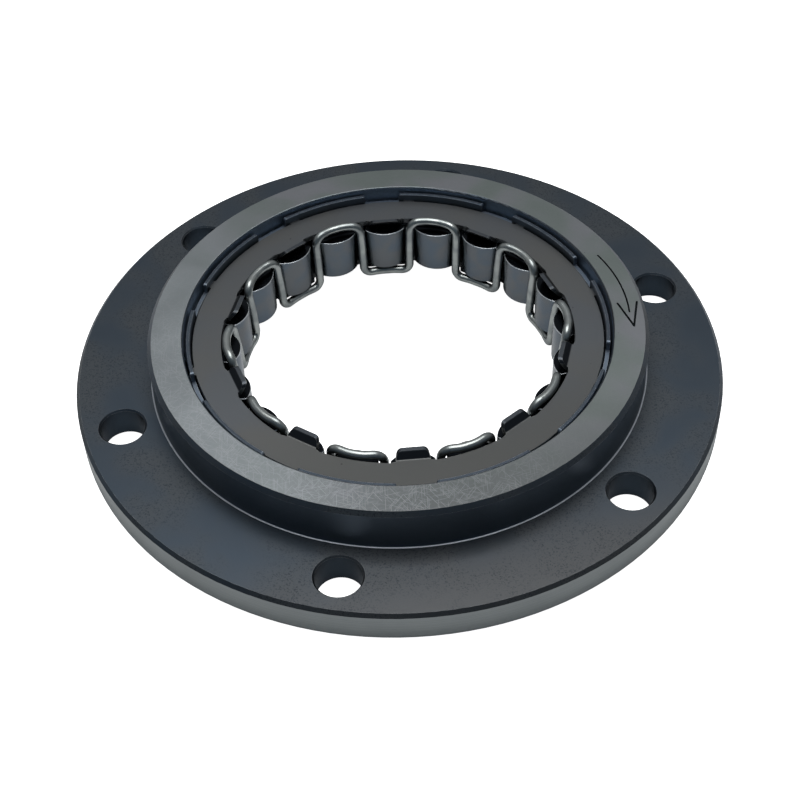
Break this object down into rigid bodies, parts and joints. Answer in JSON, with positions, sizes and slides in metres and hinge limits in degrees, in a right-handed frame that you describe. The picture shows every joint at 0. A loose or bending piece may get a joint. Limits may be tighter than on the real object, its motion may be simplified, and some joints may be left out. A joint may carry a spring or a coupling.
{
  "type": "sprag clutch",
  "caption": "Flanged one-way clutch: a bolted outer race around a cage of rocking sprags that grip a hub turning one way.",
  "frame": {"origin": "centre of the flange's flat back face, on the rotation axis", "axes": "+Z along the rotation axis, from the flange's back face towards the raised race; one bolt hole at 30 degrees from +X"},
  "size_m": [0.097, 0.097, 0.0117],
  "materials": {
    "race_steel": "hardened, black-grey oxide with ground faces",
    "drum_steel": "dark pressed steel",
    "plate_steel": "satin pressed steel",
    "spring_wire": "drawn and polished spring wire",
    "sprag_steel": "hardened and tumbled bearing steel"
  },
  "bodies": {
    "race": {"outer_race": "race_steel"},
    "cage": {"cage_drum": "drum_steel", "top_side_plate": "plate_steel", "bottom_side_plate": "plate_steel", "wire_spring": "spring_wire"},
    "sprag_01": {"sprag_01": "sprag_steel"},
    "sprag_02": {"sprag_02": "sprag_steel"},
    "sprag_03": {"sprag_03": "sprag_steel"},
    "sprag_04": {"sprag_04": "sprag_steel"},
    "sprag_05": {"sprag_05": "sprag_steel"},
    "sprag_06": {"sprag_06": "sprag_steel"},
    "sprag_07": {"sprag_07": "sprag_steel"},
    "sprag_08": {"sprag_08": "sprag_steel"},
    "sprag_09": {"sprag_09": "sprag_steel"},
    "sprag_10": {"sprag_10": "sprag_steel"},
    "sprag_11": {"sprag_11": "sprag_steel"},
    "sprag_12": {"sprag_12": "sprag_steel"},
    "sprag_13": {"sprag_13": "sprag_steel"},
    "sprag_14": {"sprag_14": "sprag_steel"},
    "sprag_15": {"sprag_15": "sprag_steel"},
    "sprag_16": {"sprag_16": "sprag_steel"},
    "sprag_17": {"sprag_17": "sprag_steel"},
    "sprag_18": {"sprag_18": "sprag_steel"},
    "sprag_19": {"sprag_19": "sprag_steel"},
    "sprag_20": {"sprag_20": "sprag_steel"}
  },
  "joints": [
    {"name": "cage_turn", "type": "hinge", "parent": "race", "child": "cage", "pos_m": [0, 0, 0.0054], "axis": [0, 0, 1], "continuous": true},
    {"name": "sprag_01_rock", "type": "hinge", "parent": "cage", "child": "sprag_01", "pos_m": [0.02568, 0.00769, 0.0054], "axis": [0, 0, -1], "range_deg": [-3, 5], "stiffness_Nm_per_rad": 0.005},
    {"name": "sprag_02_rock", "type": "hinge", "parent": "cage", "child": "sprag_02", "pos_m": [0.02205, 0.01525, 0.0054], "axis": [0, 0, -1], "range_deg": [-3, 5], "stiffness_Nm_per_rad": 0.005},
    {"name": "sprag_03_rock", "type": "hinge", "parent": "cage", "child": "sprag_03", "pos_m": [0.01625, 0.02131, 0.0054], "axis": [0, 0, -1], "range_deg": [-3, 5], "stiffness_Nm_per_rad": 0.005},
    {"name": "sprag_04_rock", "type": "hinge", "parent": "cage", "child": "sprag_04", "pos_m": [0.00887, 0.02529, 0.0054], "axis": [0, 0, -1], "range_deg": [-3, 5], "stiffness_Nm_per_rad": 0.005},
    {"name": "sprag_05_rock", "type": "hinge", "parent": "cage", "child": "sprag_05", "pos_m": [0.00062, 0.0268, 0.0054], "axis": [0, 0, -1], "range_deg": [-3, 5], "stiffness_Nm_per_rad": 0.005},
    {"name": "sprag_06_rock", "type": "hinge", "parent": "cage", "child": "sprag_06", "pos_m": [-0.00769, 0.02568, 0.0054], "axis": [0, 0, -1], "range_deg": [-3, 5], "stiffness_Nm_per_rad": 0.005},
    {"name": "sprag_07_rock", "type": "hinge", "parent": "cage", "child": "sprag_07", "pos_m": [-0.01525, 0.02205, 0.0054], "axis": [0, 0, -1], "range_deg": [-3, 5], "stiffness_Nm_per_rad": 0.005},
    {"name": "sprag_08_rock", "type": "hinge", "parent": "cage", "child": "sprag_08", "pos_m": [-0.02131, 0.01625, 0.0054], "axis": [0, 0, -1], "range_deg": [-3, 5], "stiffness_Nm_per_rad": 0.005},
    {"name": "sprag_09_rock", "type": "hinge", "parent": "cage", "child": "sprag_09", "pos_m": [-0.02529, 0.00887, 0.0054], "axis": [0, 0, -1], "range_deg": [-3, 5], "stiffness_Nm_per_rad": 0.005},
    {"name": "sprag_10_rock", "type": "hinge", "parent": "cage", "child": "sprag_10", "pos_m": [-0.0268, 0.00062, 0.0054], "axis": [0, 0, -1], "range_deg": [-3, 5], "stiffness_Nm_per_rad": 0.005},
    {"name": "sprag_11_rock", "type": "hinge", "parent": "cage", "child": "sprag_11", "pos_m": [-0.02568, -0.00769, 0.0054], "axis": [0, 0, -1], "range_deg": [-3, 5], "stiffness_Nm_per_rad": 0.005},
    {"name": "sprag_12_rock", "type": "hinge", "parent": "cage", "child": "sprag_12", "pos_m": [-0.02205, -0.01525, 0.0054], "axis": [0, 0, -1], "range_deg": [-3, 5], "stiffness_Nm_per_rad": 0.005},
    {"name": "sprag_13_rock", "type": "hinge", "parent": "cage", "child": "sprag_13", "pos_m": [-0.01625, -0.02131, 0.0054], "axis": [0, 0, -1], "range_deg": [-3, 5], "stiffness_Nm_per_rad": 0.005},
    {"name": "sprag_14_rock", "type": "hinge", "parent": "cage", "child": "sprag_14", "pos_m": [-0.00887, -0.02529, 0.0054], "axis": [0, 0, -1], "range_deg": [-3, 5], "stiffness_Nm_per_rad": 0.005},
    {"name": "sprag_15_rock", "type": "hinge", "parent": "cage", "child": "sprag_15", "pos_m": [-0.00062, -0.0268, 0.0054], "axis": [0, 0, -1], "range_deg": [-3, 5], "stiffness_Nm_per_rad": 0.005},
    {"name": "sprag_16_rock", "type": "hinge", "parent": "cage", "child": "sprag_16", "pos_m": [0.00769, -0.02568, 0.0054], "axis": [0, 0, -1], "range_deg": [-3, 5], "stiffness_Nm_per_rad": 0.005},
    {"name": "sprag_17_rock", "type": "hinge", "parent": "cage", "child": "sprag_17", "pos_m": [0.01525, -0.02205, 0.0054], "axis": [0, 0, -1], "range_deg": [-3, 5], "stiffness_Nm_per_rad": 0.005},
    {"name": "sprag_18_rock", "type": "hinge", "parent": "cage", "child": "sprag_18", "pos_m": [0.02131, -0.01625, 0.0054], "axis": [0, 0, -1], "range_deg": [-3, 5], "stiffness_Nm_per_rad": 0.005},
    {"name": "sprag_19_rock", "type": "hinge", "parent": "cage", "child": "sprag_19", "pos_m": [0.02529, -0.00887, 0.0054], "axis": [0, 0, -1], "range_deg": [-3, 5], "stiffness_Nm_per_rad": 0.005},
    {"name": "sprag_20_rock", "type": "hinge", "parent": "cage", "child": "sprag_20", "pos_m": [0.0268, -0.00062, 0.0054], "axis": [0, 0, -1], "range_deg": [-3, 5], "stiffness_Nm_per_rad": 0.005}
  ],
  "couplings": [
    {"joint": "sprag_02_rock", "follows": "sprag_01_rock", "ratio": 1},
    {"joint": "sprag_03_rock", "follows": "sprag_01_rock", "ratio": 1},
    {"joint": "sprag_04_rock", "follows": "sprag_01_rock", "ratio": 1},
    {"joint": "sprag_05_rock", "follows": "sprag_01_rock", "ratio": 1},
    {"joint": "sprag_06_rock", "follows": "sprag_01_rock", "ratio": 1},
    {"joint": "sprag_07_rock", "follows": "sprag_01_rock", "ratio": 1},
    {"joint": "sprag_08_rock", "follows": "sprag_01_rock", "ratio": 1},
    {"joint": "sprag_09_rock", "follows": "sprag_01_rock", "ratio": 1},
    {"joint": "sprag_10_rock", "follows": "sprag_01_rock", "ratio": 1},
    {"joint": "sprag_11_rock", "follows": "sprag_01_rock", "ratio": 1},
    {"joint": "sprag_12_rock", "follows": "sprag_01_rock", "ratio": 1},
    {"joint": "sprag_13_rock", "follows": "sprag_01_rock", "ratio": 1},
    {"joint": "sprag_14_rock", "follows": "sprag_01_rock", "ratio": 1},
    {"joint": "sprag_15_rock", "follows": "sprag_01_rock", "ratio": 1},
    {"joint": "sprag_16_rock", "follows": "sprag_01_rock", "ratio": 1},
    {"joint": "sprag_17_rock", "follows": "sprag_01_rock", "ratio": 1},
    {"joint": "sprag_18_rock", "follows": "sprag_01_rock", "ratio": 1},
    {"joint": "sprag_19_rock", "follows": "sprag_01_rock", "ratio": 1},
    {"joint": "sprag_20_rock", "follows": "sprag_01_rock", "ratio": 1}
  ]
}
